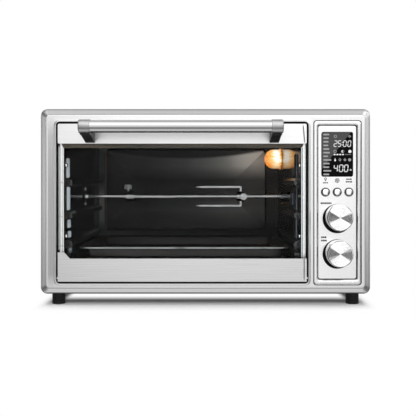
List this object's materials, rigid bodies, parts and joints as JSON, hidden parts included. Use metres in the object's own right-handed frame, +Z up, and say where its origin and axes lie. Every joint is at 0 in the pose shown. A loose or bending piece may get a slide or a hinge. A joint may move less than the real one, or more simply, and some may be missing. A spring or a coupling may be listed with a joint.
{
  "type": "air fryer toaster oven",
  "caption": "Countertop air fryer toaster oven: steel casing, drop-down glass door with a tube handle, rotisserie spit, pan, and a control column with display, buttons and knobs.",
  "frame": {"origin": "middle of the footprint, on the surface that the feet stand on", "axes": "+X to the right seen from the front, the front faces -Y, +Z up"},
  "size_m": [0.48, 0.401, 0.2842],
  "materials": {
    "casing_steel": "fine horizontal brush",
    "door_steel": "fine horizontal brush",
    "panel_steel": "fine vertical brush",
    "surround_chrome": "bright, slightly satin",
    "dark_sheet": "matte black paint",
    "liner_steel": "plain mill finish",
    "chamber_coating": "glossy dark coating",
    "element_sheath": "dull oxidised sheath",
    "white_ceramic": "unglazed",
    "bulb_glass": "clear, lit warm",
    "lamp_glass": "pressed glass",
    "motor_metal": "plain",
    "screw_steel": "zinc plated",
    "spit_chrome": "bright",
    "display_glass": "black, printed behind",
    "board_plastic": "printed board",
    "black_plastic": "fine grain",
    "foot_rubber": "fluted",
    "door_glass": "clear, tempered",
    "handle_chrome": "polished tube",
    "ferrule_metal": "satin",
    "knob_metal": "turned face, bright rim",
    "button_chrome": "metallised",
    "pan_coating": "dark non-stick coating"
  },
  "bodies": {
    "casing": {"front_frame": "casing_steel", "outer_wrap": "casing_steel", "base_plate": "dark_sheet", "rear_cover": "dark_sheet", "cord_bushing": "black_plastic", "rear_spacers": "black_plastic", "feet": "foot_rubber", "casing_screws": "screw_steel", "mouth_ring": "liner_steel", "chamber_left_wall": "chamber_coating", "chamber_right_wall": "chamber_coating", "chamber_ceiling": "chamber_coating", "chamber_floor": "chamber_coating", "chamber_back_wall": "chamber_coating", "left_rack_ribs": "chamber_coating", "right_rack_ribs": "chamber_coating", "upper_elements": "element_sheath", "lower_elements": "element_sheath", "element_insulators": "white_ceramic", "lamp_holder": "white_ceramic", "lamp_bulb": "bulb_glass", "lamp_lens": "lamp_glass", "fan_housing": "liner_steel", "fan_motor": "motor_metal", "rotisserie_motor": "motor_metal", "spit_support": "spit_chrome", "chamber_screws": "screw_steel", "temperature_probe": "spit_chrome", "panel_surround": "surround_chrome", "control_panel": "panel_steel", "display_window": "display_glass", "control_board": "board_plastic", "knob_encoders": "motor_metal", "button_switches": "black_plastic", "hinge_brackets": "screw_steel", "hinge_pins": "screw_steel"},
    "door": {"door_top_rail": "door_steel", "door_bottom_rail": "door_steel", "door_glass": "door_glass", "door_keepers": "liner_steel", "door_hinge_blocks": "screw_steel", "door_springs": "screw_steel", "handle_tube": "handle_chrome", "handle_ferrules": "ferrule_metal", "handle_arms": "black_plastic", "handle_screws": "screw_steel"},
    "function_knob": {"function_knob": "knob_metal"},
    "time_knob": {"time_knob": "knob_metal"},
    "light_button": {"light_button": "button_chrome"},
    "fan_button": {"fan_button": "button_chrome"},
    "start_button": {"start_button": "button_chrome"},
    "convection_fan": {"convection_fan": "liner_steel"},
    "spit": {"spit_rod": "spit_chrome"},
    "spit_drive": {"spit_drive_socket": "spit_chrome"},
    "left_fork": {"left_fork": "spit_chrome"},
    "right_fork": {"right_fork": "spit_chrome"},
    "left_thumbscrew": {"left_thumbscrew": "spit_chrome"},
    "right_thumbscrew": {"right_thumbscrew": "spit_chrome"},
    "baking_pan": {"baking_pan": "pan_coating"},
    "crumb_tray": {"crumb_tray": "liner_steel"}
  },
  "joints": [
    {"name": "door_hinge", "type": "hinge", "parent": "casing", "child": "door", "pos_m": [-0.0336, -0.1446, 0.0383], "axis": [1, 0, 0], "range_deg": [0, 82], "stiffness_Nm_per_rad": 0.35, "springref_deg": -57.3},
    {"name": "function_knob_turn", "type": "hinge", "parent": "casing", "child": "function_knob", "pos_m": [0.1912, -0.1455, 0.12717], "axis": [0, -1, 0], "continuous": true},
    {"name": "time_knob_turn", "type": "hinge", "parent": "casing", "child": "time_knob", "pos_m": [0.1912, -0.1455, 0.07566], "axis": [0, -1, 0], "continuous": true},
    {"name": "light_button_press", "type": "slide", "parent": "casing", "child": "light_button", "axis": [0, 1, 0], "range_m": [0, 0.0015], "stiffness_N_per_m": 400},
    {"name": "fan_button_press", "type": "slide", "parent": "casing", "child": "fan_button", "axis": [0, 1, 0], "range_m": [0, 0.0015], "stiffness_N_per_m": 400},
    {"name": "start_button_press", "type": "slide", "parent": "casing", "child": "start_button", "axis": [0, 1, 0], "range_m": [0, 0.0015], "stiffness_N_per_m": 400},
    {"name": "fan_spin", "type": "hinge", "parent": "casing", "child": "convection_fan", "pos_m": [0.1604, 0.113, 0.143], "axis": [1, 0, 0], "continuous": true},
    {"name": "spit_spin", "type": "hinge", "parent": "casing", "child": "spit", "pos_m": [-0.0336, 0.0161, 0.153], "axis": [1, 0, 0], "continuous": true},
    {"name": "spit_drive_spin", "type": "hinge", "parent": "casing", "child": "spit_drive", "pos_m": [0.1404, 0.0161, 0.153], "axis": [1, 0, 0], "continuous": true},
    {"name": "left_fork_slide", "type": "slide", "parent": "spit", "child": "left_fork", "axis": [1, 0, 0], "range_m": [-0.05, 0.05]},
    {"name": "right_fork_slide", "type": "slide", "parent": "spit", "child": "right_fork", "axis": [1, 0, 0], "range_m": [-0.05, 0.05]},
    {"name": "left_thumbscrew_turn", "type": "hinge", "parent": "left_fork", "child": "left_thumbscrew", "pos_m": [-0.1326, 0.0161, 0.165], "axis": [0, 0, 1], "continuous": true},
    {"name": "right_thumbscrew_turn", "type": "hinge", "parent": "right_fork", "child": "right_thumbscrew", "pos_m": [0.0634, 0.0041, 0.153], "axis": [0, -1, 0], "continuous": true},
    {"name": "pan_slide", "type": "slide", "parent": "casing", "child": "baking_pan", "axis": [0, -1, 0], "range_m": [0, 0.06]},
    {"name": "crumb_tray_slide", "type": "slide", "parent": "casing", "child": "crumb_tray", "axis": [0, -1, 0], "range_m": [0, 0.01]}
  ],
  "couplings": [
    {"joint": "spit_drive_spin", "follows": "spit_spin", "ratio": 1}
  ]
}
